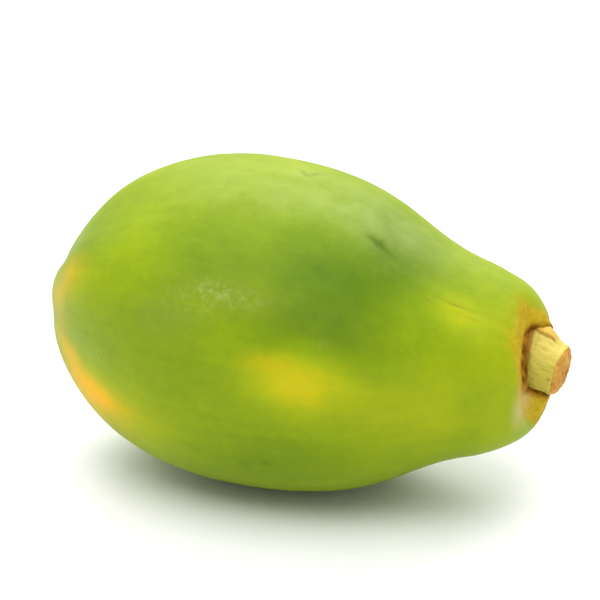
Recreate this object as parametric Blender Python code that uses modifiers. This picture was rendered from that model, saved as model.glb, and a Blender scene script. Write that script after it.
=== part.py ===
"""A papaya lying on its side, with the cut stub of its stalk still in the fruit.

The fruit is shaped about its own axis, which runs along +X from the blossom end (x = 0) to the
stalk end. It is then tipped to the angle at which it balances and stood on the floor, z = 0, with
the world origin straight below its centre of mass.
"""

import math

import bmesh
import bpy
import numpy as np
from mathutils import Matrix, Vector

# Fruit, in metres.
LENGTH = 0.1502  # blossom end to the top of the stalk end's dome
BELLY_RADIUS = 0.0470
BELLY_FROM_BLOSSOM = 0.0622  # widest ring, from the blossom end
NECK_RADIUS = 0.0260
NECK_FROM_STALK_END = 0.0190  # ring where the neck turns in, from the stalk end
NECK_TAPER = 0.305  # radius lost for each unit of length at the neck ring

# How full the outline's arcs are: each is the handle's share of the span it reaches across.
BLOSSOM_FULLNESS = 0.415
BELLY_FULLNESS_BLOSSOM = 0.55
BELLY_FULLNESS_NECK = 0.615
NECK_FULLNESS_BELLY = 0.335
NECK_FULLNESS_STALK = 0.51
STALK_END_FULLNESS = 0.605

# The middles of the rings don't lie quite on a straight line.
TIP_DROP = 0.0031  # the blossom end droops
TIP_DROP_REACH = 0.020
WAIST_SAG = 0.0015  # the waist between belly and neck hangs
WAIST_FROM_STALK_END = 0.042
WAIST_SAG_REACH = 0.016

# Five lobes, one for each seed chamber, which fade out towards the belly.
LOBES = 5
LOBE_HEIGHT = 0.057  # share of the local radius
LOBE_HEIGHT_BODY = 0.019
LOBE_FULL_UNTIL = 0.016
LOBE_FADED_AT = 0.052
LOBE_ANGLE = math.radians(80.3)

# The basin that the stalk stands in, and the corky socket in its floor.
STALK_HEIGHT = 0.0036  # the stalk's foot, above the fruit's axis
STALK_SIDE = -0.0008  # and beside it
STALK_LEAN_DOWN = math.radians(10.0)
STALK_LEAN_SIDE = math.radians(-4.0)
BASIN_DEPTH = 0.0046
BASIN_RADIUS = 0.0085
SOCKET_DEPTH = 0.0024

# Stalk stub.
STUB_RADIUS = 0.0076  # at the basin's floor
STUB_CUT_RADIUS = 0.0068  # at the cut end
STUB_HEIGHT = 0.0069  # cut end above the basin's floor
STUB_CORNERS = 5
STUB_CORNER_HEIGHT = 0.035  # share of the radius
STUB_CUT_EDGE = 0.0013
CREVICE = 0.0018  # open ring between the stub and the socket's mouth
GAP = 0.0003  # between the stub's foot and the fruit

FLAT_DEPTH = 0.0008  # how much of the belly is pressed flat where it rests

# Angles that the fruit is tried at, stalk end down, to find how it balances.
TIP_ANGLES = np.radians(np.arange(-10.0, 25.0, 0.05))

# Mesh density.
AROUND = 72
ALONG = 48
STUB_SIDES = 40
STUB_RINGS = 5
PROFILE_STEPS = 200

FRUIT_COLOUR = (0.262, 0.376, 0.026, 1.0)
STUB_COLOUR = (0.679, 0.560, 0.127, 1.0)


def clear_scene():
    for item in list(bpy.data.objects):
        bpy.data.objects.remove(item, do_unlink=True)


def new_collection(name):
    collection = bpy.data.collections.new(name)
    bpy.context.scene.collection.children.link(collection)
    return collection


def new_material(name, colour, roughness):
    material = bpy.data.materials.new(name)
    material.use_nodes = True
    shader = material.node_tree.nodes["Principled BSDF"]
    shader.inputs["Base Color"].default_value = colour
    shader.inputs["Roughness"].default_value = roughness
    shader.inputs["Metallic"].default_value = 0.0
    return material


def new_object(name, body, collection):
    mesh = bpy.data.meshes.new(name)
    body.to_mesh(mesh)
    body.free()
    item = bpy.data.objects.new(name, mesh)
    collection.objects.link(item)
    return item


def arc(start, start_handle, end_handle, end):
    """Points of one cubic arc of the outline, as rows of (distance along the axis, radius)."""
    t = np.linspace(0.0, 1.0, PROFILE_STEPS)[:, None]
    corners = [np.array(corner) for corner in (start, start_handle, end_handle, end)]
    shares = [(1 - t) ** 3, 3 * t * (1 - t) ** 2, 3 * t * t * (1 - t), t ** 3]
    return sum(share * corner for share, corner in zip(shares, corners))


def outline():
    """The fruit's half outline: blossom end to belly, belly to neck, neck to stalk end."""
    neck_at = LENGTH - NECK_FROM_STALK_END
    span = neck_at - BELLY_FROM_BLOSSOM
    run_in = span * NECK_FULLNESS_BELLY
    run_out = NECK_FROM_STALK_END * NECK_FULLNESS_STALK
    belly = (BELLY_FROM_BLOSSOM, BELLY_RADIUS)
    neck = (neck_at, NECK_RADIUS)
    blossom_arc = arc(
        (0.0, 0.0),
        (0.0, BELLY_RADIUS * BLOSSOM_FULLNESS),
        (BELLY_FROM_BLOSSOM * (1 - BELLY_FULLNESS_BLOSSOM), BELLY_RADIUS),
        belly,
    )
    shoulder_arc = arc(
        belly,
        (BELLY_FROM_BLOSSOM + span * BELLY_FULLNESS_NECK, BELLY_RADIUS),
        (neck_at - run_in, NECK_RADIUS + run_in * NECK_TAPER),
        neck,
    )
    stalk_arc = arc(
        neck,
        (neck_at + run_out, NECK_RADIUS - run_out * NECK_TAPER),
        (LENGTH, NECK_RADIUS * STALK_END_FULLNESS),
        (LENGTH, 0.0),
    )
    return np.concatenate([blossom_arc, shoulder_arc[1:], stalk_arc[1:]])


def ring_middle(x):
    """Height of a ring's middle above the straight axis."""
    tip = max(0.0, 1.0 - x / TIP_DROP_REACH) ** 2
    waist = (x - (LENGTH - WAIST_FROM_STALK_END)) / WAIST_SAG_REACH
    return -TIP_DROP * tip - WAIST_SAG * math.exp(-waist * waist)


def lobe_height(x):
    share = (x - LOBE_FULL_UNTIL) / (LOBE_FADED_AT - LOBE_FULL_UNTIL)
    fade = min(1.0, max(0.0, share))
    return LOBE_HEIGHT + (LOBE_HEIGHT_BODY - LOBE_HEIGHT) * fade


def stalk_frame():
    """Matrix of the stalk: origin on the basin's floor, +Z out of the fruit."""
    lean = Matrix.Rotation(STALK_LEAN_SIDE, 4, "Z") @ Matrix.Rotation(STALK_LEAN_DOWN, 4, "Y")
    out = Matrix.Rotation(math.radians(90.0), 4, "Y")
    foot = Vector((LENGTH - BASIN_DEPTH, STALK_SIDE, STALK_HEIGHT))
    return Matrix.Translation(foot) @ lean @ out


def fruit_point(unit, profile):
    """Moves a point of the unit sphere, its poles on X, onto the fruit's skin."""
    x = LENGTH * (1.0 + unit.x) / 2.0
    angle = math.atan2(unit.z, unit.y)
    lobe = lobe_height(x) * math.cos(LOBES * (angle - LOBE_ANGLE))
    radius = float(np.interp(x, profile[:, 0], profile[:, 1])) * (1.0 + lobe)
    side = radius * math.cos(angle)
    height = radius * math.sin(angle) + ring_middle(x)
    if unit.x > 0.0:
        reach = math.hypot(side - STALK_SIDE, height - STALK_HEIGHT) / BASIN_RADIUS
        x -= BASIN_DEPTH * math.exp(-reach * reach)
    return Vector((x, side, height))


def make_fruit(collection):
    body = bmesh.new()
    turn = Matrix.Rotation(math.radians(90.0), 4, "Y")
    bmesh.ops.create_uvsphere(body, u_segments=AROUND, v_segments=ALONG, radius=1.0, matrix=turn)
    profile = outline()
    for vertex in body.verts:
        vertex.co = fruit_point(vertex.co, profile)
    fruit = new_object("fruit", body, collection)
    fruit.data.materials.append(new_material("papaya_skin", FRUIT_COLOUR, 0.42))
    return fruit


def add_cylinder(body, radius, bottom, top, levels):
    """A closed cylinder on +Z, cut into rings at the levels given."""
    middle = Matrix.Translation((0.0, 0.0, (bottom + top) / 2.0))
    bmesh.ops.create_cone(
        body, cap_ends=True, segments=STUB_SIDES,
        radius1=radius, radius2=radius, depth=top - bottom, matrix=middle,
    )
    for level in levels:
        everything = body.verts[:] + body.edges[:] + body.faces[:]
        bmesh.ops.bisect_plane(body, geom=everything, plane_co=(0, 0, level), plane_no=(0, 0, 1))


def make_stub(collection):
    """The stub, foot to cut end along its own +Z, a little five-sided and narrower at the cut."""
    body = bmesh.new()
    foot = GAP - SOCKET_DEPTH
    levels = [STUB_HEIGHT * ring / STUB_RINGS for ring in range(STUB_RINGS)]
    add_cylinder(body, STUB_RADIUS, foot, STUB_HEIGHT, levels)
    for vertex in body.verts:
        rise = max(0.0, vertex.co.z / STUB_HEIGHT)
        taper = 1.0 + (STUB_CUT_RADIUS / STUB_RADIUS - 1.0) * rise
        angle = math.atan2(vertex.co.y, vertex.co.x)
        corner = 1.0 + STUB_CORNER_HEIGHT * rise * math.cos(STUB_CORNERS * angle)
        vertex.co.x *= taper * corner
        vertex.co.y *= taper * corner
    stub = new_object("stem_stub", body, collection)
    stub.data.materials.append(new_material("cut_stalk", STUB_COLOUR, 0.6))
    edge = stub.modifiers.new("cut_edge", "BEVEL")
    edge.width = STUB_CUT_EDGE
    edge.segments = 3
    edge.limit_method = "ANGLE"
    edge.angle_limit = math.radians(50.0)
    return stub


def make_socket_cutter(collection):
    """A cup that fits the stub's foot and opens into the crevice round the stub."""
    body = bmesh.new()
    mouth = STUB_RADIUS + CREVICE
    add_cylinder(body, mouth, -SOCKET_DEPTH, BASIN_DEPTH + STUB_HEIGHT, [0.0])
    for vertex in body.verts:
        if vertex.co.z < -SOCKET_DEPTH / 2.0:
            vertex.co.x *= (STUB_RADIUS + GAP) / mouth
            vertex.co.y *= (STUB_RADIUS + GAP) / mouth
    return new_object("socket_cutter", body, collection)


def make_floor_cutter(collection):
    body = bmesh.new()
    bmesh.ops.create_cube(body, size=1.0)
    wide = 2.0 * LENGTH
    bmesh.ops.scale(body, vec=(wide, wide, wide), verts=body.verts)
    bmesh.ops.translate(body, vec=(0.0, 0.0, -wide / 2.0), verts=body.verts)
    return new_object("floor_cutter", body, collection)


def cut(item, cutter, name):
    boolean = item.modifiers.new(name, "BOOLEAN")
    boolean.operation = "DIFFERENCE"
    boolean.solver = "EXACT"
    boolean.object = cutter
    cutter.hide_render = True
    cutter.display_type = "WIRE"


def centre_of_mass(mesh):
    """The middle of the solid, summed over the wedges between its triangles and the origin."""
    mesh.calc_loop_triangles()
    points = np.array([vertex.co for vertex in mesh.vertices])
    corners = points[np.array([triangle.vertices for triangle in mesh.loop_triangles])]
    volumes = np.sum(corners[:, 0] * np.cross(corners[:, 1], corners[:, 2]), axis=1)
    middles = corners.sum(axis=1) / 4.0
    return (middles * volumes[:, None]).sum(axis=0) / volumes.sum()


def resting_place(fruit, middle):
    """The matrix that lays the fruit down as it comes to rest: with its middle as low as it goes."""
    points = np.array([vertex.co for vertex in fruit.data.vertices])
    heights = []
    for angle in TIP_ANGLES:
        down = np.array([math.sin(angle), 0.0, -math.cos(angle)])
        heights.append(np.max((points - middle) @ down))
    best = int(np.argmin(heights))
    tip = Matrix.Rotation(TIP_ANGLES[best], 4, "Y")
    lift = Matrix.Translation((0.0, 0.0, heights[best] - FLAT_DEPTH))
    return lift @ tip @ Matrix.Translation(-Vector(middle))


def main():
    clear_scene()
    parts = new_collection("papaya")
    cutters = new_collection("cutters")
    fruit = make_fruit(parts)
    stub = make_stub(parts)
    socket_cutter = make_socket_cutter(cutters)
    floor_cutter = make_floor_cutter(cutters)

    place = resting_place(fruit, centre_of_mass(fruit.data))
    fruit.matrix_world = place
    stub.matrix_world = place @ stalk_frame()
    socket_cutter.matrix_world = place @ stalk_frame()
    cut(fruit, socket_cutter, "stalk_socket")
    cut(fruit, floor_cutter, "flat_spot")
    bpy.context.view_layer.update()
    for item in (fruit, stub):
        item.data.shade_smooth()
        item.data.set_sharp_from_angle(angle=math.radians(40.0))


main()
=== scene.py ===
"""Looks for the papaya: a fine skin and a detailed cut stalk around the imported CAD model.

Everything is in metres in the CAD frame: +X runs to the stalk end, +Z is up, and the fruit lies on z = 0.
A place on the skin is given by how far along the fruit it is from the blossom end and by its angle
around the fruit: 0 is +Y, 90 the top, 180 the side facing the camera and 270 the resting side.
"""
import math

import bpy
import numpy as np
from mathutils import Matrix, Vector, noise
from mathutils.bvhtree import BVHTree


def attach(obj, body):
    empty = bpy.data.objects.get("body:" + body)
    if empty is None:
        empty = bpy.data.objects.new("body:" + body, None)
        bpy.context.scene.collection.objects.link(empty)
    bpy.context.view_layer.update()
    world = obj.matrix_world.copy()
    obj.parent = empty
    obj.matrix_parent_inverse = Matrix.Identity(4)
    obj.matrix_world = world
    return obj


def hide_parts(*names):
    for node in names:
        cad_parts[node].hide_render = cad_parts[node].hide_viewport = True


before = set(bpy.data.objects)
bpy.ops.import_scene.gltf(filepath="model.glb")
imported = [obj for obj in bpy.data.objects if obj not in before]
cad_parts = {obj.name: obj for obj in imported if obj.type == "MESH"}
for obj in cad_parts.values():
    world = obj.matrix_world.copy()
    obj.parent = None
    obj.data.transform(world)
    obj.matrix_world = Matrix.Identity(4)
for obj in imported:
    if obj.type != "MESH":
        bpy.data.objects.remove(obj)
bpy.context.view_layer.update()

MM = 0.001

# The fruit's own axis, as the CAD model lies.
DIP = math.radians(3.5)             # the stalk end lies lower than level by this
FAN_START = 0.036                   # rays leave the axis from here at the blossom end
FAN_END_BELOW = 0.024               # and from this far under the stalk's seat at the other end
FAN_MOVES = (0.1, 0.92)             # shares of the way between which the rays' start moves along
FAN_SWINGS = (0.55, 0.95)           # and between which they swing to the stalk's own axis

# Fineness of the skin.
AROUND = 256
BODY_RINGS = 292
SEAT_RINGS = 48
FINE_STALK_SHARE = 0.55             # ring spacing at the stalk end, as a share of the middle's
FINE_STALK_FROM = 0.7               # the rings begin to close up at this share of the way
TRIAL_RINGS = 400
RIM_SEARCH = (0.6, 0.99)            # shares between which the seat's rim is looked for
RIM_HALVINGS = 24
HIGHEST_WAVE = 22                   # waves around the fruit kept from the faceted CAD surface
WAVES_FADE_FROM = 0.7               # share of the highest wave
SMOOTH_ALONG = 1.3 * MM

# The corky seat around the stalk. A turn is counted as around the fruit, about the stalk's own axis.
RIM_RADIUS = 11.6 * MM              # inside this, the seat's shape is made here
COLLAR_RADIUS = 9.6 * MM
COLLAR_TIGHT = 1.5 * MM             # the collar comes this much closer to the stalk on its lower side
COLLAR_RISE = 0.30 * MM
COLLAR_CLIMB = 0.35                 # share of the shoulder's slope that the collar keeps
SLOPE_RINGS = 3                     # rings that the shoulder's slope is taken over
GROOVE_WIDTH = 2.1 * MM
GROOVE_DEPTH = 1.9 * MM
HIDDEN_RADIUS = 6.3 * MM            # inside this the stalk hides the seat, which evens out to one height
LEVEL_RADIUS = 1.5 * MM
TIGHT_TURN = math.radians(285)
TIGHT_SPREAD = (0.1, 0.9)           # between these cosines from its middle the tight side fades in
SHOULDER_SWELL = 0.8 * MM
SHOULDER_RADIUS = 18.5 * MM
SHOULDER_WIDTH = 5.5 * MM
SHOULDER_CENTRE_DEPTH = 14 * MM     # the shoulder swells away from a point this far under the seat
STALK_END = (-16 * MM, -6 * MM)     # heights along the stalk between which the shaping fades in
WORN_TURN = math.radians(165)       # on this side the shoulder is worn down to a flat end
WORN_SPREAD = (-0.05, 0.6)
WORN_DEPTH = 3.2 * MM
WORN_REACH = (12.5 * MM, 18.5 * MM)

# Remnants of the flower's scales on the collar: turn in degrees, radius, width and height in mm.
SCALES = (
    (66, 10.2, 1.9, 1.7),
    (128, 9.9, 1.5, 0.5),
    (196, 9.8, 1.7, 0.4),
    (268, 10.8, 2.2, 0.4),
    (338, 10.2, 1.8, 1.1),
)
SCALE_THICKNESS = 0.75              # share of its width
SCALE_LOWEST = -20 * MM             # height along the stalk, which keeps them off the blossom end

# The cut stalk.
STALK_AROUND = 160
STALK_WALL_RINGS = 44
STALK_FACE_RINGS = 40
STALK_SUNK = 5.5 * MM               # how far it goes on below its CAD solid, into the crevice
STALK_WALL_TOP = 7.5 * MM
STALK_WAVES = 12                    # waves around the stalk kept from its CAD solid
CAD_WALL_FOOT = 0.4 * MM            # the CAD wall is read between this height
CAD_WALL_END = 2.2 * MM             # and this far below its top
DOME_HEIGHT = 2.8 * MM
DOME_FULLNESS = 2.5
DOME_LEAN = 0.5 * MM                # the cut face stands this much taller on its lower side
DOME_LEAN_TURN = math.radians(290)
BUTTRESS_TURN = math.radians(52)    # the stalk's foot spreads out on this side, down to the tallest scale
BUTTRESS_REACH = 2.7 * MM
BUTTRESS_SPREAD = 0.42
BUTTRESS_FULL_BELOW = 0.5 * MM


# ---------------------------------------------------------------- the frame's measures

def mesh_points(mesh):
    points = np.empty(len(mesh.vertices) * 3)
    mesh.vertices.foreach_get("co", points)
    return points.reshape(-1, 3)


def node_points(name):
    return mesh_points(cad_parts[name].data)


def middle_of_solid(name):
    """The centre of the volume that a closed node's triangles enclose."""
    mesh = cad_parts[name].data
    mesh.calc_loop_triangles()
    corners = np.array([t.vertices for t in mesh.loop_triangles])
    a, b, c = np.moveaxis(node_points(name)[corners], 1, 0)
    volumes = np.einsum("ij,ij->i", a, np.cross(b, c))
    return ((a + b + c) * volumes[:, None]).sum(0) / (4 * volumes.sum())


def unit(v):
    return v / np.linalg.norm(v, axis=-1, keepdims=True)


AXIS = np.array([math.cos(DIP), 0.0, -math.sin(DIP)])
SIDE = np.array([0.0, 1.0, 0.0])
RISE = np.cross(AXIS, SIDE)
MIDDLE = middle_of_solid("fruit")
BLOSSOM_TIP = MIDDLE + AXIS * ((node_points("fruit") - MIDDLE) @ AXIS).min()


def stalk_axis():
    """The cut stalk's base, direction and height, from its flat lower end in the CAD model."""
    points = node_points("stem_stub")
    faces = [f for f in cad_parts["stem_stub"].data.polygons if f.normal.dot(Vector(AXIS)) < -0.9]
    area = sum(f.area for f in faces)
    base = sum((np.array(f.center) * f.area for f in faces), np.zeros(3)) / area
    direction = -unit(sum((np.array(f.normal) * f.area for f in faces), np.zeros(3)))
    return base, direction, float(((points - base) @ direction).max())


STALK_BASE, STALK_AXIS, STALK_TALL = stalk_axis()
STALK_SIDE = unit(SIDE - STALK_AXIS * (SIDE @ STALK_AXIS))
STALK_RISE = np.cross(STALK_AXIS, STALK_SIDE)


def smooth_step(low, high, x):
    t = np.clip((x - low) / (high - low), 0.0, 1.0)
    return t * t * (3 - 2 * t)


def bell(x):
    return np.exp(-x * x)


# ---------------------------------------------------------------- the skin's shape

def cad_surface(name):
    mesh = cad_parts[name].data
    return BVHTree.FromPolygons([v.co for v in mesh.vertices], [p.vertices for p in mesh.polygons])


def fan(share):
    """Start and frame of the rays at a share of the way from the blossom pole to the stalk pole."""
    stalk = smooth_step(*FAN_SWINGS, share)
    start = BLOSSOM_TIP + AXIS * FAN_START
    end = STALK_BASE - STALK_AXIS * FAN_END_BELOW
    origin = start + (end - start) * smooth_step(*FAN_MOVES, share)
    axis = unit(AXIS * (1 - stalk) + STALK_AXIS * stalk)
    side = unit(SIDE - axis * (SIDE @ axis))
    return origin, axis, side, np.cross(axis, side)


def ring_rays(share):
    origin, axis, side, rise = fan(share)
    open_angle = math.pi * share
    turn = 2 * math.pi * np.arange(AROUND) / AROUND
    radial = np.cos(turn)[:, None] * side + np.sin(turn)[:, None] * rise
    return origin, radial * math.sin(open_angle) - axis * math.cos(open_angle)


def ring_hits(tree, share):
    origin, rays = ring_rays(share)
    start = Vector(origin)
    return np.array([(tree.ray_cast(start, Vector(ray))[3]) or 0.0 for ray in rays])


def last_share(tree):
    """The share where a ring reaches the corky seat's rim."""
    low, high = RIM_SEARCH
    for _ in range(RIM_HALVINGS):
        share = (low + high) / 2
        origin, rays = ring_rays(share)
        points = origin + rays * ring_hits(tree, share)[:, None]
        offset = points - STALK_BASE
        offset -= (offset @ STALK_AXIS)[:, None] * STALK_AXIS
        if np.linalg.norm(offset, axis=1).mean() > RIM_RADIUS:
            low = share
        else:
            high = share
    return low


def ring_shares(tree):
    """Shares that space the rings evenly along the skin, closer towards the stalk."""
    trial = np.linspace(0.0, last_share(tree), TRIAL_RINGS)
    turn = AROUND // 4
    points = []
    for share in trial:
        origin, rays = ring_rays(share)
        points.append(origin + rays[turn] * tree.ray_cast(Vector(origin), Vector(rays[turn]))[3])
    step = np.linalg.norm(np.diff(points, axis=0), axis=1)
    crowd = 1 + (1 / FINE_STALK_SHARE - 1) * smooth_step(FINE_STALK_FROM, 1.0, trial[1:] / trial[-1])
    travelled = np.concatenate(([0.0], np.cumsum(step * crowd)))
    return np.interp(np.linspace(0.0, travelled[-1], BODY_RINGS), travelled, trial)


def smooth_reach(reach, spacing):
    """Takes the CAD facets out of the rays' lengths, around the fruit and then along it."""
    waves = np.fft.rfft(reach, axis=1)
    waves *= 1 - smooth_step(HIGHEST_WAVE * WAVES_FADE_FROM, HIGHEST_WAVE, np.arange(waves.shape[1]))
    reach = np.fft.irfft(waves, AROUND, axis=1)
    place = np.concatenate(([0.0], np.cumsum(spacing)))
    weight = np.exp(-0.5 * ((place[:, None] - place[None, :]) / SMOOTH_ALONG) ** 2)
    # Near an end the far side of the window is missing, so a straight line is fitted and not a mean.
    offset = place[None, :] - place[:, None]
    total = weight.sum(1)
    first = (weight * offset).sum(1)
    second = (weight * offset * offset).sum(1)
    share = weight * (second[:, None] - offset * first[:, None])
    return share @ reach / (total * second - first * first)[:, None]


def body_points(tree):
    shares = ring_shares(tree)
    reach = np.array([ring_hits(tree, share) for share in shares])
    reach[0] = reach[0].mean()
    rays = [ring_rays(share) for share in shares]
    rough = np.array([origin + ray * length[:, None] for (origin, ray), length in zip(rays, reach)])
    spacing = np.linalg.norm(np.diff(rough, axis=0), axis=2).mean(1)
    reach = smooth_reach(reach, spacing)
    return np.array([origin + ray * length[:, None] for (origin, ray), length in zip(rays, reach)])


def about_stalk(points):
    """Height along the stalk from its base, distance from its axis and turn about it."""
    offset = points - STALK_BASE
    height = offset @ STALK_AXIS
    flat = offset - height[..., None] * STALK_AXIS
    return height, np.linalg.norm(flat, axis=-1), np.arctan2(flat @ STALK_RISE, flat @ STALK_SIDE)


def at_stalk(height, radius, turn):
    outward = np.cos(turn)[..., None] * STALK_SIDE + np.sin(turn)[..., None] * STALK_RISE
    return STALK_BASE + height[..., None] * STALK_AXIS + radius[..., None] * outward


def wear_shoulder(points):
    """Lowers the shoulder on its worn side, so that the end there is flat and the stalk's foot shows."""
    height, radius, turn = about_stalk(points)
    side = smooth_step(*WORN_SPREAD, np.cos(turn - WORN_TURN))
    near = 1 - smooth_step(*WORN_REACH, radius)
    at_end = smooth_step(*STALK_END, height)
    swell = SHOULDER_SWELL * bell((radius - SHOULDER_RADIUS) / SHOULDER_WIDTH) * at_end
    outward = unit(points - STALK_BASE + STALK_AXIS * SHOULDER_CENTRE_DEPTH)
    worn = WORN_DEPTH * side * near * at_end
    return points - STALK_AXIS * worn[..., None] + outward * swell[..., None]


def tightness(turn):
    """1 on the side where the collar comes closest to the stalk, 0 away from it."""
    return smooth_step(*TIGHT_SPREAD, np.cos(turn - TIGHT_TURN))


def seat_points(body):
    """Rings from the rim in to the stalk: a low corky collar, then the crevice that the stalk stands in."""
    height, radius, turn = about_stalk(body[-1])
    height_before, radius_before, _ = about_stalk(body[-1 - SLOPE_RINGS])
    climb = (height - height_before) / (radius_before - radius)
    collar_radius = COLLAR_RADIUS - COLLAR_TIGHT * tightness(turn)
    run_length = radius - collar_radius
    collar = COLLAR_RISE + COLLAR_CLIMB * np.clip(climb, 0.0, 1.0) * run_length
    rings = []
    for share in np.arange(1, SEAT_RINGS + 1) / SEAT_RINGS:
        rho = radius * (1 - share)
        run = np.clip((radius - rho) / run_length, 0.0, 1.0)
        lift = climb * run_length * run * (1 - run) ** 2 + collar * smooth_step(0.0, 1.0, run)
        down = smooth_step(0.0, GROOVE_WIDTH, collar_radius - rho)
        uneven = smooth_step(LEVEL_RADIUS, HIDDEN_RADIUS, rho)
        rings.append(at_stalk((height + lift - GROOVE_DEPTH * down) * uneven, rho, turn))
    return np.array(rings)


def grow_scales(points):
    height, radius, turn = about_stalk(points)
    lift = np.zeros(height.shape)
    for degrees, distance, width, tall in SCALES:
        centre = math.radians(degrees)
        across = radius * np.sin(turn - centre)
        out = radius * np.cos(turn - centre) - distance * MM
        away = np.hypot(across / (width * MM), out / (SCALE_THICKNESS * width * MM))
        lift += tall * MM * np.exp(-away ** 3)
    lift *= height > SCALE_LOWEST
    return points + STALK_AXIS * lift[..., None]


def noise_at(points, wavelength, seed):
    """Smooth noise of about -1 to 1, one value for each point."""
    shift = Vector((seed * 7.31, seed * 3.77, seed * 5.13))
    flat = (points.reshape(-1, 3) / wavelength).tolist()
    values = [noise.noise(Vector(p) + shift) for p in flat]
    return np.array(values).reshape(points.shape[:-1]) * 1.6


def skin_grid():
    tree = cad_surface("fruit")
    body = wear_shoulder(body_points(tree))
    return grow_scales(np.concatenate((body, seat_points(body))))


def stalk_grid():
    """The stalk's wall from the CAD solid, sunk into the crevice, under a domed cut face."""
    tree = cad_surface("stem_stub")
    turn = 2 * math.pi * np.arange(STALK_AROUND) / STALK_AROUND
    outward = np.cos(turn)[:, None] * STALK_SIDE + np.sin(turn)[:, None] * STALK_RISE
    heights = np.linspace(-STALK_SUNK, STALK_WALL_TOP, STALK_WALL_RINGS)
    low, high = CAD_WALL_FOOT, STALK_TALL - CAD_WALL_END
    rings = [np.tile(STALK_BASE - STALK_AXIS * STALK_SUNK, (STALK_AROUND, 1))]
    for height in heights:
        start = Vector(STALK_BASE + STALK_AXIS * min(max(height, low), high))
        reach = np.array([tree.ray_cast(start, Vector(ray))[3] for ray in outward])
        waves = np.fft.rfft(reach)
        waves[STALK_WAVES:] = 0
        reach = np.fft.irfft(waves, STALK_AROUND)
        foot = 1 - smooth_step(BUTTRESS_FULL_BELOW, STALK_WALL_TOP, height)
        reach += BUTTRESS_REACH * foot * bell((np.cos(turn - BUTTRESS_TURN) - 1) / BUTTRESS_SPREAD)
        rings.append(at_stalk(np.full(STALK_AROUND, height), reach, turn))
    for step in np.linspace(0.0, 1.0, STALK_FACE_RINGS + 1)[1:]:
        lean = step * math.pi / 2
        inward = math.cos(lean) ** (2 / DOME_FULLNESS) if step < 1 else 0.0
        rise = DOME_HEIGHT * math.sin(lean) ** (2 / DOME_FULLNESS)
        rise = rise + DOME_LEAN * math.sin(lean) * inward * np.cos(turn - DOME_LEAN_TURN)
        rings.append(at_stalk(STALK_WALL_TOP + rise, reach * inward, turn))
    return np.array(rings)


def grid_mesh(name, grid):
    """A closed mesh from rings of points whose first and last rings are single points."""
    rings, around = grid.shape[:2]
    points = np.concatenate((grid[0, :1], grid[1:-1].reshape(-1, 3), grid[-1, :1]))
    column = np.arange(around)
    beside = (column + 1) % around
    quads = []
    for ring in range(rings - 3):
        low = 1 + ring * around
        high = low + around
        quads.append(np.stack((low + column, low + beside, high + beside, high + column), 1))
    last = len(points) - 1
    final = 1 + (rings - 3) * around
    faces = np.concatenate(quads).tolist()
    faces += np.stack((np.zeros_like(column), 1 + beside, 1 + column), 1).tolist()
    faces += np.stack((final + column, final + beside, np.full_like(column, last)), 1).tolist()
    mesh = bpy.data.meshes.new(name)
    mesh.from_pydata(points.tolist(), [], faces)
    mesh.update()
    mesh.shade_smooth()
    piece = bpy.data.objects.new(name, mesh)
    bpy.context.scene.collection.objects.link(piece)
    return piece


# ---------------------------------------------------------------- the skin's marks

# Each mark lies at a distance from the blossom end in mm and an angle in degrees, and fades over a
# half length and half width in mm. A slant in degrees turns its length towards a growing angle.
# Its row is: along, angle, half length, half width, slant, amount.
RIPENING = (                        # a positive amount is yellower, a negative one greener
    (56, 106, 40, 17, 0, 0.09),     # lime upper side
    (128, 104, 17, 16, 0, 0.12),    # lime neck
    (94, 139, 18, 13, 4, -0.38),    # deep green flank
    (64, 146, 17, 11, 0, -0.16),    # its fading front
    (108, 118, 9, 9, 20, -0.16),    # green below the bruise
    (96, 156, 14, 7, 0, -0.14),
    (84, 160, 9, 6, 0, -0.14),
    (106, 165, 9, 6, 0, -0.10),
    (50, 163, 15, 12, 0, -0.08),    # olive cheek
    (108, 95, 14, 10, 0, -0.18),    # duller shoulder
    (17, 140, 12, 8, 0, -0.16),
    (42, 192, 20, 12, 0, 0.08),     # lime under the cheek
    (91, 175, 12.0, 8.4, 0, 0.48),  # yellow patch
    (96, 187, 24, 12, 0, 0.12),     # and the lime around it
    (126, 131, 8, 5, 8, 0.24),      # yellow spot on the neck
    (122, 191, 17, 12, 0, 0.22),    # lime cheek of the neck
    (136, 160, 7, 10, 0, -0.04),
    (84, 216, 38, 11, 0, -0.16),    # painted shade: darker, deeper green towards the ground
    (15, 157, 10, 8, 0, 0.12),      # yellowing at the blossom end
    (32, 206, 19, 9, 0, 0.36),
    (58, 305, 20, 15, 0, 0.34),     # the side turned away: a yellow cheek
    (98, 330, 24, 15, 0, -0.24),    # and a green one
    (70, 20, 30, 18, 0, -0.20),
    (112, 40, 16, 11, 0, 0.18),
)
ORANGE = (                          # golden skin
    (16.5, 150, 6, 5, 0, 0.42),     # patches near the blossom end
    (11.5, 163, 5, 4, 0, 0.34),
    (10, 178, 5, 6, 0, 0.22),
    (24, 214, 11, 6, -6, 0.60),     # the streak below them
    (29, 205, 10, 3.8, -9, 0.95),
    (16, 199, 7, 4, 0, 0.60),
    (83, 170, 6, 2.6, -6, 0.30),    # the middle of the yellow patch
    (59, 306, 8, 5, 0, 0.35),       # on the side turned away
    (9, 60, 9, 7, 0, 0.45),
)
DULL_AND_SHEEN = (                            # greyer, rougher skin, and a painted grey-teal sheen
    (52, 161, 11, 6, 0, 0.55),      # grey-green cheek
    (108, 100, 13, 9, 0, 0.75),     # painted grey-teal sheen on the shoulder
    (96, 152, 13, 6, 0, 0.20),
)
LATEX = (                           # pale dried drops of sap
    (68, 150.5, 10, 2.6, 2, 1.0),   # a band of them
    (60, 156, 9, 4, 0, 0.45),
    (96, 161, 1.0, 1.6, 90, 0.8),
    (30, 186, 5, 3, 0, 0.4),
    (90, 20, 12, 3, 0, 0.8),
)
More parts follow.
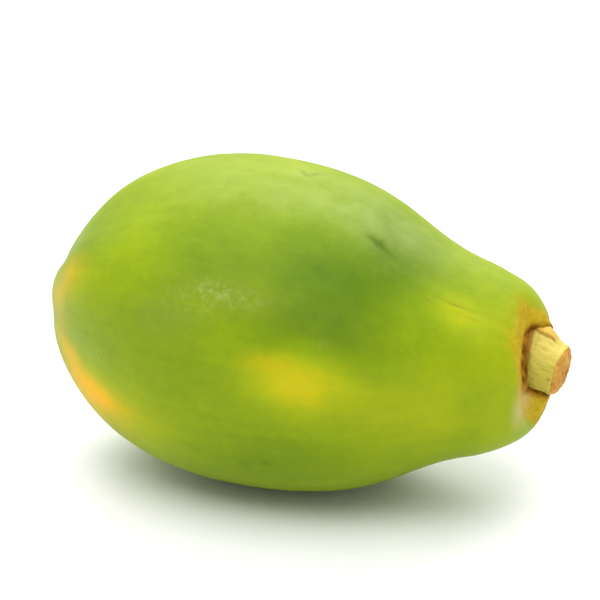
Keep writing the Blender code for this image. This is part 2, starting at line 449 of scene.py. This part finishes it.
BLOOM_AND_HIGHLIGHT = (                           # waxy bloom, and a painted highlight on the upper side and the shoulder
    (76, 106, 30, 9, 0, 0.8),       # painted highlight over bloom, left on the upper side
    # painted highlight over bloom on the shoulder
    (98, 96, 20, 9, 0, 0.7),
    (60, 20, 24, 12, 0, 0.7),
)
PALE = (                            # skin worn pale, and a painted highlight
    (144.8, 194, 1.4, 5.5, 0, 1.0), # a pale streak on the shoulder of the stalk end, worn skin with a painted highlight
    (69, 151, 13, 4.5, 2, 0.12),
)
BRUISES = (                         # dark marks, also pressed in
    (101.8, 113.8, 2.3, 1.1, 18, 1.0),  # a star-like bruise
    (105.4, 115.6, 1.9, 0.6, 24, 0.45),
    (104.5, 114.8, 6.0, 2.2, 22, 0.22),
    (99.4, 112.6, 1.3, 0.6, -12, 0.45),
    (102.4, 112.6, 0.6, 1.9, 12, 0.50),
    (75.4, 92.7, 1.9, 0.7, 45, 0.6),    # a small hooked scar on the upper side
    (78.1, 92.0, 2.3, 0.7, -57, 0.6),
    (76.0, 213.6, 1.0, 0.7, 0, 1.0),    # specks low on the side
    (82.0, 211.0, 1.1, 0.7, 0, 0.8),
    (70.0, 214.0, 0.9, 0.5, 0, 0.5),
    (60.0, 262.0, 3.0, 1.4, 20, 0.8),   # on the sides turned down and away
    (88.0, 352.0, 2.6, 1.2, -15, 0.8),
)
SCRATCHES = (
    (124.5, 126.9, 5.6, 0.32, 3, 0.8),  # on the neck
    (128.5, 131.5, 3.6, 0.28, 6, 0.55),
    (118.0, 130.0, 2.6, 0.26, 12, 0.4),
    (66.0, 35.0, 6.0, 0.30, 5, 0.6),    # on the side turned away
)
MARK_DEPTH = 0.16 * MM              # of bruises and scratches
MARKS_END = (-16 * MM, -7 * MM)     # heights between which the cork and crevice fade in

# Where the skin stands in or out: height, along, angle, half length and half width (an angle).
SWELLS = (
    (-0.8 * MM, 8.0 * MM, math.radians(127), 3.2 * MM, 0.24),   # a dent near the blossom end
    (0.75 * MM, 130 * MM, math.radians(84), 8 * MM, 0.5),       # the fuller top of the neck
)

# Unevenness: height, wavelength and seed of each noise.
SKIN_LUMPS = ((0.16 * MM, 21 * MM, 1), (0.035 * MM, 5 * MM, 2))
CORK_GRAIN = ((0.16 * MM, 1.6 * MM, 6), (0.09 * MM, 0.8 * MM, 7))

# Fine ridges along the fruit, which a noise stretched lengthwise gives.
RIDGE_HEIGHT = 0.05 * MM
RIDGE_LENGTH = 60 * MM
RIDGES_AROUND = 2.4
RIDGE_WAVELENGTH = 0.35
RIDGES_FROM = (4 * MM, 20 * MM)     # distances from the fruit's axis between which they fade in

# The corky skin's edge, from the stalk's axis. Its fingers: how many, how long, where they start.
CORK_REACH = 15.0 * MM
CORK_REACH_WORN = 3.4 * MM          # further out on the worn side, and as much nearer opposite
CORK_FADE = 3.5 * MM
CORK_FINGERS = ((3, 0.8 * MM, 0.8), (7, 0.5 * MM, 2.1))
CORK_RAGGED = 0.9 * MM

# The crevice between the stalk and the collar, painted dark brown: brown cork and painted shade.
CREVICE_PAST_COLLAR = 0.9 * MM
CREVICE_WIDER_WORN = 1.9 * MM
CREVICE_WORN_SPREAD = (0.2, 1.0)
CREVICE_FADE = (-1.3 * MM, 1.2 * MM)
CREVICE_RAGGED = 0.45 * MM
CREVICE_CUT = 0.5 * MM

# The star where the flower sat, in a low ring.
SCAR_RADIUS = 2.1 * MM
SCAR_POINTS = 5
SCAR_POINT_LENGTH = 0.28            # share of its radius
SCAR_DEPTH = 1.3 * MM
SCAR_RING_HEIGHT = 0.5 * MM
SCAR_RING_RADIUS = 4.4 * MM
SCAR_RING_WIDTH = 1.8 * MM
BLOSSOM_END = 20 * MM               # the star and its ring lie nearer the blossom end than this

# How ripe the skin is before its patches: 0 is deep green, 1 is yellow.
RIPE = 0.50
RIPE_LOBES = 0.05                   # yellower along the five lobes
RIPE_LOBE_ANGLE = math.radians(8)
RIPE_BLOTCHES = (0.06, 26 * MM, 11)
RIPE_STALK_END = 0.13


class Places:
    """Where points of the skin are: along the fruit and around it, and about the stalk."""

    def __init__(self, points):
        offset = points - BLOSSOM_TIP
        side = offset @ SIDE
        rise = offset @ RISE
        self.points = points
        self.along = offset @ AXIS
        self.girth = np.hypot(side, rise)
        self.angle = np.arctan2(rise, side)
        height, self.radius, self.turn = about_stalk(points)
        self.at_end = smooth_step(*MARKS_END, height)

    def marks(self, marks):
        """The sum of soft ellipses lying on the skin."""
        total = np.zeros(self.along.shape)
        for along, degrees, length, width, slant, amount in marks:
            away = self.along - along * MM
            turn = self.angle - math.radians(degrees)
            across = np.arctan2(np.sin(turn), np.cos(turn)) * self.girth
            c, s = math.cos(math.radians(slant)), math.sin(math.radians(slant))
            u = (away * c + across * s) / (length * MM)
            v = (across * c - away * s) / (width * MM)
            total += amount * np.exp(-(u * u + v * v))
        return total


def unevenness(points, kinds):
    return sum(height * noise_at(points, wavelength, seed) for height, wavelength, seed in kinds)


def cork_cover(place):
    """How corky the skin is: fully at the stalk's foot, in fingers further out."""
    fingers = sum(length * np.sin(count * place.turn + start) for count, length, start in CORK_FINGERS)
    fingers += CORK_RAGGED * noise_at(place.points, 5 * MM, 3)
    reach = CORK_REACH + CORK_REACH_WORN * np.cos(place.turn - WORN_TURN) + fingers
    return place.at_end * (1 - smooth_step(-CORK_FADE, CORK_FADE, place.radius - reach))


def crevice_cover(place):
    """The crevice between the stalk's foot and the collar, with a ragged edge; its dark brown is brown cork
    and painted shade.
    """
    wander = CREVICE_RAGGED * noise_at(place.points, 3 * MM, 5)
    worn = smooth_step(*CREVICE_WORN_SPREAD, np.cos(place.turn - WORN_TURN))
    rim = COLLAR_RADIUS + CREVICE_PAST_COLLAR
    rim = rim - (COLLAR_TIGHT + CREVICE_PAST_COLLAR) * tightness(place.turn) + CREVICE_WIDER_WORN * worn
    return place.at_end * (1 - smooth_step(*CREVICE_FADE, place.radius - rim - wander))


def blossom_scar(place):
    """A small five-pointed star where the flower sat."""
    points = 1.0 + SCAR_POINT_LENGTH * np.cos(SCAR_POINTS * place.angle)
    away = place.girth / (SCAR_RADIUS * points)
    return np.exp(-away ** 3) * (place.along < BLOSSOM_END)


def carve_marks(grid, normals):
    """Moves the skin in or out at its marks, and gives it the slight unevenness of a grown thing."""
    place = Places(grid)
    lift = unevenness(grid, SKIN_LUMPS)
    around = RIDGES_AROUND * np.cos(place.angle), RIDGES_AROUND * np.sin(place.angle)
    ridge = np.stack((place.along / RIDGE_LENGTH, *around), -1)
    lift += RIDGE_HEIGHT * noise_at(ridge, RIDGE_WAVELENGTH, 4) * smooth_step(*RIDGES_FROM, place.girth)
    lift -= MARK_DEPTH * place.marks(BRUISES)
    lift -= MARK_DEPTH * place.marks(SCRATCHES)
    for height, along, angle, length, width in SWELLS:
        lift += height * bell((place.along - along) / length) * bell((place.angle - angle) / width)
    lift -= SCAR_DEPTH * blossom_scar(place)
    ring = bell((place.girth - SCAR_RING_RADIUS) / SCAR_RING_WIDTH) * (place.along < BLOSSOM_END)
    lift += SCAR_RING_HEIGHT * ring
    lift += cork_cover(place) * unevenness(grid, CORK_GRAIN)
    lift -= CREVICE_CUT * crevice_cover(place) * (0.6 + 0.4 * noise_at(grid, 2.0 * MM, 8))
    return grid + normals * lift[..., None]


def grid_normals(grid):
    around = np.roll(grid, -1, 1) - np.roll(grid, 1, 1)
    along = np.gradient(grid, axis=0)
    normal = np.cross(around, along)
    size = np.linalg.norm(normal, axis=-1, keepdims=True)
    normal = np.where(size > 1e-12, normal / np.maximum(size, 1e-12), 0.0)
    normal[0], normal[-1] = -AXIS, STALK_AXIS
    return normal


def set_attribute(mesh, name, values):
    kind = "FLOAT_VECTOR" if values.ndim == 2 else "FLOAT"
    attribute = mesh.attributes.new(name, kind, "POINT")
    field = "vector" if values.ndim == 2 else "value"
    attribute.data.foreach_set(field, values.astype(np.float32).ravel())


def paint_skin(mesh):
    """Writes how ripe, bruised, corky and so on the skin is at each point, for its material."""
    place = Places(mesh_points(mesh))
    ripe = RIPE + place.marks(RIPENING)
    lobes = np.cos(5 * (place.angle - RIPE_LOBE_ANGLE))
    ripe += RIPE_LOBES * lobes * smooth_step(10 * MM, 30 * MM, place.girth)
    ripe += unevenness(place.points, (RIPE_BLOTCHES,))
    ripe += RIPE_STALK_END * smooth_step(130 * MM, 142 * MM, place.along)
    set_attribute(mesh, "ripe", ripe)
    kinds = {
        "orange": ORANGE,
        "dull_and_sheen": DULL_AND_SHEEN,
        "latex": LATEX,
        "bloom_and_highlight": BLOOM_AND_HIGHLIGHT,
        "pale": PALE,
        "bruise": BRUISES,
        "scratch": SCRATCHES,
    }
    for name, marks in kinds.items():
        set_attribute(mesh, name, np.clip(place.marks(marks), 0, 1))
    set_attribute(mesh, "cork", cork_cover(place))
    set_attribute(mesh, "crevice", np.clip(crevice_cover(place) + blossom_scar(place) * 0.9, 0, 1))
    grain = np.stack((place.along / (30 * MM), np.cos(place.angle), np.sin(place.angle)), -1)
    set_attribute(mesh, "grain", grain)


# ---------------------------------------------------------------- the stalk's marks

LIP_TURN = math.radians(66)         # the middle of the strip of torn rind
LIP_HALF_WIDTH = math.radians(29)
LIP_RAGGED = 0.05
LIP_RAGGED_LENGTH = 0.9 * MM
LIP_EDGE = 0.06
LIP_END = (4.2 * MM, 5.6 * MM)
LIP_THICKNESS = 0.15 * MM
SEAM_DEPTH = 0.2 * MM
FOOT_LINE = 0.35 * MM               # height of the brown foot's edge; the brown is cork and painted crevice shade
FOOT_LINE_TILT = 1.8 * MM
FOOT_LINE_TURN = math.radians(245)  # where the brown reaches highest
FOOT_FADE = (-0.9 * MM, 1.2 * MM)
FACE_EDGE = (STALK_WALL_TOP - 0.1 * MM, STALK_WALL_TOP + 1.1 * MM)
FACE_EDGE_WAVE = 0.25 * MM
FACE_ROUGH_FROM = (STALK_WALL_TOP + 0.4 * MM, STALK_WALL_TOP + 1.4 * MM)
PITH_RADIUS = 1.6 * MM
PITH_DEPTH = 0.35 * MM
RIM_HEIGHT = 0.18 * MM              # the burr that the knife left round the cut
RIM_WIDTH = 0.5 * MM
RIM_ABOVE_WALL = 0.1 * MM
GREEN_TURN = math.radians(215)
SPECK_HEIGHT = 7.3 * MM
SPECK_RADIUS = 0.7 * MM
SPECK_TURN_LENGTH = 7.2 * MM        # the wall's radius, which makes a turn a length
STALK_LUMPS = (0.10 * MM, 2.2 * MM, 22)
FACE_LUMPS = (0.16 * MM, 1.3 * MM, 23)
FIBRE_LUMPS = (0.16 * MM, 0.16, 21)     # its wavelength is a share of the fibres' own stretched space


def lip_cover(height, turn):
    """The strip of torn rind standing on the stalk's upper side, and the seam along its edge, whose dark
    line is partly painted shade in the crease.
    """
    ragged = LIP_RAGGED * np.sin(height / LIP_RAGGED_LENGTH)
    away = np.abs(turn - LIP_TURN) - LIP_HALF_WIDTH - ragged
    end = 1 - smooth_step(*LIP_END, height)
    lip = (1 - smooth_step(-LIP_EDGE, LIP_EDGE, away)) * end
    return lip, bell(away / LIP_EDGE) * end


def paint_stalk(mesh):
    """Writes where the stalk is cut face, brown foot (cork and painted crevice shade), torn rind and so on,
    for its material.
    """
    height, radius, turn = about_stalk(mesh_points(mesh))
    face = smooth_step(*FACE_EDGE, height + FACE_EDGE_WAVE * np.sin(3 * turn))
    foot_line = FOOT_LINE + FOOT_LINE_TILT * np.cos(turn - FOOT_LINE_TURN)
    set_attribute(mesh, "face", face)
    set_attribute(mesh, "foot", 1 - smooth_step(*FOOT_FADE, height - foot_line))
    lip, seam = lip_cover(height, turn)
    set_attribute(mesh, "lip", lip)
    speck = np.hypot(SPECK_TURN_LENGTH * (turn + math.pi), height - SPECK_HEIGHT) / SPECK_RADIUS
    set_attribute(mesh, "seam", np.clip(seam + bell(speck), 0, 1))
    set_attribute(mesh, "green", smooth_step(-0.2, 0.9, np.cos(turn - GREEN_TURN)))
    set_attribute(mesh, "out", radius / radius.max())
    set_attribute(mesh, "grain", np.stack((height / (12 * MM), np.cos(turn), np.sin(turn)), -1))


def roughen_stalk(grid, normals):
    """Gives the stalk its fibres, lumps, torn rind and the rough cut face with its pith."""
    height, radius, turn = about_stalk(grid)
    fibre = np.stack((height / (14 * MM), np.cos(turn), np.sin(turn)), -1)
    on_face = smooth_step(*FACE_ROUGH_FROM, height)
    lift = unevenness(fibre, (FIBRE_LUMPS,)) + unevenness(grid, (STALK_LUMPS,))
    lift *= 1 - on_face * 0.8
    pith = PITH_DEPTH * bell(radius / PITH_RADIUS)
    lift += on_face * (unevenness(grid, (FACE_LUMPS,)) - pith)
    lip, seam = lip_cover(height, turn)
    lift += LIP_THICKNESS * lip * smooth_step(-1.0 * MM, 1.0 * MM, height) - SEAM_DEPTH * seam
    lift += RIM_HEIGHT * bell((height - STALK_WALL_TOP - RIM_ABOVE_WALL) / RIM_WIDTH)
    return grid + normals * lift[..., None]


# ---------------------------------------------------------------- materials

def linear(red, green, blue):
    """A colour given as 0 to 255 display values, as the shader takes it."""
    values = np.array((red, green, blue)) / 255.0
    return (*np.where(values <= 0.04045, values / 12.92, ((values + 0.055) / 1.055) ** 2.4), 1.0)


class Nodes:
    """Short names for the shader nodes that the materials are made of."""

    def __init__(self, name):
        self.material = bpy.data.materials.new(name)
        self.material.use_nodes = True
        self.tree = self.material.node_tree
        self.shader = self.tree.nodes["Principled BSDF"]

    def put(self, socket, value):
        if isinstance(value, bpy.types.NodeSocket):
            self.tree.links.new(value, socket)
        else:
            socket.default_value = value

    def attribute(self, name, vector=False):
        node = self.tree.nodes.new("ShaderNodeAttribute")
        node.attribute_name = name
        return node.outputs["Vector" if vector else "Fac"]

    def place(self):
        return self.tree.nodes.new("ShaderNodeTexCoord").outputs["Object"]

    def noise(self, vector, scale, detail=2.0, rough=0.5, stretch=None, distort=0.0):
        if stretch:
            node = self.tree.nodes.new("ShaderNodeMapping")
            self.put(node.inputs["Vector"], vector)
            node.inputs["Scale"].default_value = stretch
            vector = node.outputs["Vector"]
        node = self.tree.nodes.new("ShaderNodeTexNoise")
        self.put(node.inputs["Vector"], vector)
        node.inputs["Scale"].default_value = scale
        node.inputs["Detail"].default_value = detail
        node.inputs["Roughness"].default_value = rough
        node.inputs["Distortion"].default_value = distort
        return node.outputs["Fac"]

    def dots(self, vector, scale, size):
        """1 in the middle of scattered round dots, 0 outside them."""
        node = self.tree.nodes.new("ShaderNodeTexVoronoi")
        self.put(node.inputs["Vector"], vector)
        node.inputs["Scale"].default_value = scale
        return self.band(node.outputs["Distance"], size, size * 0.45)

    def band(self, value, low, high):
        """0 at low, 1 at high, smooth between; low may be the larger."""
        node = self.tree.nodes.new("ShaderNodeMapRange")
        node.interpolation_type = "SMOOTHSTEP"
        self.put(node.inputs["Value"], value)
        node.inputs["From Min"].default_value = min(low, high)
        node.inputs["From Max"].default_value = max(low, high)
        node.inputs["To Min"].default_value = 0.0 if low < high else 1.0
        node.inputs["To Max"].default_value = 1.0 if low < high else 0.0
        return node.outputs["Result"]

    def math(self, operation, a, b, clamp=False):
        node = self.tree.nodes.new("ShaderNodeMath")
        node.operation = operation
        node.use_clamp = clamp
        self.put(node.inputs[0], a)
        self.put(node.inputs[1], b)
        return node.outputs[0]

    def add(self, a, b):
        return self.math("ADD", a, b)

    def times(self, a, b):
        return self.math("MULTIPLY", a, b)

    def sway(self, fac, amount):
        """A noise of 0 to 1 turned into minus to plus amount."""
        return self.times(self.math("SUBTRACT", fac, 0.5), 2 * amount)

    def ramp(self, value, *stops):
        node = self.tree.nodes.new("ShaderNodeValToRGB")
        self.put(node.inputs["Fac"], value)
        elements = node.color_ramp.elements
        while len(elements) < len(stops):
            elements.new(0.5)
        for element, (at, colour) in zip(elements, stops):
            element.position = at
            element.color = colour
        return node.outputs["Color"]

    def mix(self, share, a, b, blend="MIX"):
        node = self.tree.nodes.new("ShaderNodeMix")
        node.data_type = "RGBA"
        node.blend_type = blend
        self.put(node.inputs["Factor"], share)
        self.put(node.inputs["A"], a)
        self.put(node.inputs["B"], b)
        return next(o for o in node.outputs if o.type == "RGBA")

    def finish(self, colour, rough, height, depth, specular):
        self.put(self.shader.inputs["Base Color"], colour)
        self.put(self.shader.inputs["Roughness"], rough)
        self.shader.inputs["Specular IOR Level"].default_value = specular
        bump = self.tree.nodes.new("ShaderNodeBump")
        bump.inputs["Distance"].default_value = depth
        self.put(bump.inputs["Height"], height)
        self.tree.links.new(bump.outputs["Normal"], self.shader.inputs["Normal"])
        return self.material


def skin_material():
    n = Nodes("papaya_skin")
    place = n.place()
    grain = n.attribute("grain", vector=True)
    streaks = n.noise(grain, 1.0, 5.0, 0.6, stretch=(1.1, 13.0, 13.0))
    hairs = n.noise(grain, 1.0, 3.0, 0.65, stretch=(3.0, 46.0, 46.0))
    blotches = n.noise(place, 95.0, 3.0, 0.55, distort=0.4)
    mottle = n.noise(place, 420.0, 3.0, 0.6)
    ripe = n.add(n.attribute("ripe"), n.sway(streaks, 0.06))
    ripe = n.add(ripe, n.sway(blotches, 0.11))
    ripe = n.add(ripe, n.sway(mottle, 0.075))
    colour = n.ramp(
        ripe,
        (0.00, linear(74, 108, 8)),
        (0.20, linear(98, 128, 8)),
        (0.40, linear(118, 145, 8)),
        (0.58, linear(138, 159, 8)),
        (0.75, linear(158, 171, 8)),
        (0.90, linear(178, 178, 8)),
        (1.00, linear(190, 182, 10)),
    )
    orange = n.attribute("orange")
    orange = n.math("ADD", orange, n.times(n.sway(blotches, 0.5), orange), clamp=True)
    colour = n.mix(orange, colour, linear(228, 176, 6))
    # Grey-green skin; on the shoulder this grey is a painted sheen.
    colour = n.mix(n.times(n.attribute("dull_and_sheen"), 0.55), colour, linear(122, 138, 62))
    # Whitish bloom colour; on the upper side and the shoulder it is a painted highlight.
    bloom_and_highlight = n.times(n.attribute("bloom_and_highlight"), n.band(n.add(blotches, n.sway(streaks, 0.10)), 0.05, 0.95))
    colour = n.mix(n.times(bloom_and_highlight, 0.42), colour, linear(168, 190, 124))
    tone = n.add(n.add(1.0, n.sway(hairs, 0.05)), n.sway(streaks, 0.03))
    grey = n.tree.nodes.new("ShaderNodeCombineColor")
    for channel in ("Red", "Green", "Blue"):
        n.put(grey.inputs[channel], tone)
    colour = n.mix(1.0, colour, grey.outputs["Color"], "MULTIPLY")
    pores = n.dots(place, 620.0, 0.30)
    colour = n.mix(n.times(pores, 0.03), colour, linear(190, 200, 90))
    drops = n.times(n.band(n.noise(place, 640.0, 3.0, 0.6), 0.42, 0.68), n.attribute("latex"))
    colour = n.mix(n.times(drops, 0.34), colour, linear(176, 188, 112))
    colour = n.mix(n.times(n.attribute("bruise"), 0.80), colour, linear(74, 98, 2))
    colour = n.mix(n.times(n.attribute("scratch"), 0.65), colour, linear(120, 112, 30))
    bark = n.noise(place, 900.0, 4.0, 0.65)
    rings = n.noise(place, 260.0, 2.0, 0.5)
    tan = n.ramp(
        n.add(n.times(bark, 0.6), n.times(rings, 0.4)),
        (0.28, linear(168, 122, 12)),
        (0.44, linear(188, 148, 20)),
        (0.56, linear(198, 162, 34)),
        (0.72, linear(210, 176, 70)),
    )
    cork = n.attribute("cork")
    edge = n.band(n.add(cork, n.sway(bark, 0.30)), 0.05, 0.95)
    colour = n.mix(n.times(edge, 0.80), colour, tan)
    # Pale, worn skin; on the stalk end's shoulder it also carries a painted highlight.
    colour = n.mix(n.times(n.attribute("pale"), 0.50), colour, linear(204, 184, 128))
    crevice = n.attribute("crevice")
    coarse = n.band(n.add(n.times(bark, 0.25), n.times(rings, 0.75)), 0.40, 0.58)
    pits = n.math("MULTIPLY", crevice, coarse, clamp=True)
    # Dark brown crevice and darker pits: brown cork with painted shade.
    colour = n.mix(n.times(crevice, 0.90), colour, linear(156, 102, 6))
    colour = n.mix(n.times(pits, 0.75), colour, linear(96, 48, 0))
    rough = n.add(n.add(0.48, n.sway(mottle, 0.06)), n.times(edge, 0.30))
    rough = n.math("ADD", rough, n.times(n.attribute("dull_and_sheen"), 0.12), clamp=True)
    height = n.add(n.times(pores, 0.04), n.add(n.times(mottle, 0.16), n.times(hairs, 0.12)))
    height = n.add(height, n.times(n.times(bark, edge), 0.9))
    height = n.add(height, n.times(drops, 0.25))
    return n.finish(colour, rough, height, 0.25 * MM, 0.12)


def stalk_material():
    n = Nodes("cut_stalk")
    place = n.place()
    grain = n.attribute("grain", vector=True)
    fibres = n.noise(grain, 1.0, 4.0, 0.6, stretch=(2.0, 11.0, 11.0))
    flesh = n.noise(place, 700.0, 4.0, 0.6)
    patches = n.noise(place, 240.0, 2.0, 0.5)
    side = n.mix(n.times(n.attribute("green"), 0.75), linear(208, 189, 90), linear(180, 173, 60))
    side = n.mix(n.times(n.band(fibres, 0.46, 0.68), 0.35), side, linear(216, 198, 108))
    side = n.mix(n.times(n.band(fibres, 0.44, 0.28), 0.40), side, linear(150, 134, 40))
    rind = n.mix(fibres, linear(204, 156, 48), linear(226, 188, 88))
    side = n.mix(n.times(n.attribute("lip"), 0.8), side, rind)
    # Dark seam along the torn rind, partly painted shade in its crease, and a dark speck.
    side = n.mix(n.times(n.attribute("seam"), 0.75), side, linear(134, 90, 14))
    cut = n.ramp(
        n.add(n.times(flesh, 0.55), n.times(patches, 0.45)),
        (0.30, linear(152, 98, 28)),
        (0.46, linear(190, 134, 52)),
        (0.58, linear(206, 154, 68)),
        (0.74, linear(222, 180, 96)),
    )
    out = n.attribute("out")
    cut = n.mix(n.times(n.band(out, 0.30, 0.05), 0.5), cut, linear(150, 96, 44))
    face = n.band(n.add(n.attribute("face"), n.sway(patches, 0.30)), 0.35, 0.75)
    colour = n.mix(face, side, cut)
    # The brown foot in the crevice: brown cork and painted shade.
    foot = n.band(n.add(n.attribute("foot"), n.sway(flesh, 0.5)), 0.15, 0.85)
    colour = n.mix(n.times(foot, 0.85), colour, linear(154, 102, 4))
    rough = n.add(0.52, n.times(face, 0.18))
    height = n.add(n.times(fibres, 0.5), n.times(flesh, n.add(0.3, n.times(face, 0.8))))
    return n.finish(colour, rough, height, 0.35 * MM, 0.15)


# ---------------------------------------------------------------- stage, light and camera

CAMERA_TARGET = np.array([0.0, 0.0, 0.047])
CAMERA_UP_ANGLE = math.radians(20.0)
CAMERA_YAW = math.radians(19.82)
CAMERA_DISTANCE = 0.4787
CAMERA_ASIDE = 0.00492
CAMERA_ABOVE = 0.00575
LENS = 100.0
SENSOR = 36.0
FARTHEST = 50.0

FLOOR_RADIUS = 6.0
FLOOR_SIDES = 96
FLOOR_GREY = 0.86
WORLD_CAMERA_SIDE = 0.54            # strength of the world's light from the camera's side
WORLD_FAR_SIDE = 0.80
SOFTBOXES = (
    # name, place, the point it faces, size, watts
    ("back_softbox", (-0.10, 0.80, 0.95), (0, 0, 0.05), (1.6, 0.9), 12.5),
    ("top_softbox", (-0.10, -0.40, 1.20), (0, 0, 0), (1.5, 1.2), 15.5),
)


def make_camera():
    level = math.cos(CAMERA_UP_ANGLE)
    across, onward = math.cos(CAMERA_YAW), math.sin(CAMERA_YAW)
    back = np.array([onward * level, -across * level, math.sin(CAMERA_UP_ANGLE)])
    right = np.array([across, onward, 0.0])
    up = np.cross(back, right)
    place = CAMERA_TARGET + right * CAMERA_ASIDE + up * CAMERA_ABOVE + back * CAMERA_DISTANCE
    data = bpy.data.cameras.new("camera")
    data.lens = LENS
    data.sensor_width = SENSOR
    data.clip_end = FARTHEST
    camera = bpy.data.objects.new("camera", data)
    turn = Matrix((right, up, back)).transposed()
    camera.matrix_world = Matrix.Translation(Vector(place)) @ turn.to_4x4()
    bpy.context.scene.collection.objects.link(camera)
    bpy.context.scene.camera = camera


def make_light(name, place, aim, size, power):
    data = bpy.data.lights.new(name, "AREA")
    data.shape = "RECTANGLE"
    data.size, data.size_y = size
    data.energy = power
    light = bpy.data.objects.new(name, data)
    light.location = place
    light.rotation_euler = (Vector(aim) - Vector(place)).to_track_quat("-Z", "Y").to_euler()
    bpy.context.scene.collection.objects.link(light)


def make_stage():
    bpy.ops.mesh.primitive_circle_add(vertices=FLOOR_SIDES, radius=FLOOR_RADIUS, fill_type="NGON")
    floor = bpy.context.object
    floor.name = "floor"
    material = bpy.data.materials.new("floor_paint")
    material.use_nodes = True
    shader = material.node_tree.nodes["Principled BSDF"]
    shader.inputs["Base Color"].default_value = (FLOOR_GREY, FLOOR_GREY, FLOOR_GREY, 1)
    shader.inputs["Roughness"].default_value = 0.9
    shader.inputs["Specular IOR Level"].default_value = 0.1
    floor.data.materials.append(material)
    make_world()
    for softbox in SOFTBOXES:
        make_light(*softbox)


def make_world():
    """Soft light all round, dimmer from the camera's side."""
    world = bpy.data.worlds.new("studio")
    world.use_nodes = True
    tree = world.node_tree
    background = tree.nodes["Background"]
    background.inputs["Color"].default_value = (1, 1, 1, 1)
    direction = tree.nodes.new("ShaderNodeTexCoord")
    split = tree.nodes.new("ShaderNodeSeparateXYZ")
    level = tree.nodes.new("ShaderNodeMapRange")
    tree.links.new(direction.outputs["Generated"], split.inputs["Vector"])
    tree.links.new(split.outputs["Y"], level.inputs["Value"])
    level.interpolation_type = "SMOOTHSTEP"
    level.inputs["From Min"].default_value = -1.0
    level.inputs["From Max"].default_value = 0.6
    level.inputs["To Min"].default_value = WORLD_CAMERA_SIDE
    level.inputs["To Max"].default_value = WORLD_FAR_SIDE
    tree.links.new(level.outputs["Result"], background.inputs["Strength"])
    bpy.context.scene.world = world


skin_rings = skin_grid()
skin_rings = carve_marks(skin_rings, grid_normals(skin_rings))
skin_rings[..., 2] = np.maximum(skin_rings[..., 2], 0.0)    # flat where it rests
skin = grid_mesh("fruit_skin", skin_rings)
paint_skin(skin.data)
skin.data.materials.append(skin_material())
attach(skin, "root")
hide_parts("fruit")

stalk_rings = stalk_grid()
stalk = grid_mesh("stalk_stub", roughen_stalk(stalk_rings, grid_normals(stalk_rings)))
paint_stalk(stalk.data)
stalk.data.materials.append(stalk_material())
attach(stalk, "root")
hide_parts("stem_stub")

make_stage()
make_camera()
bpy.context.scene.view_settings.view_transform = "Standard"
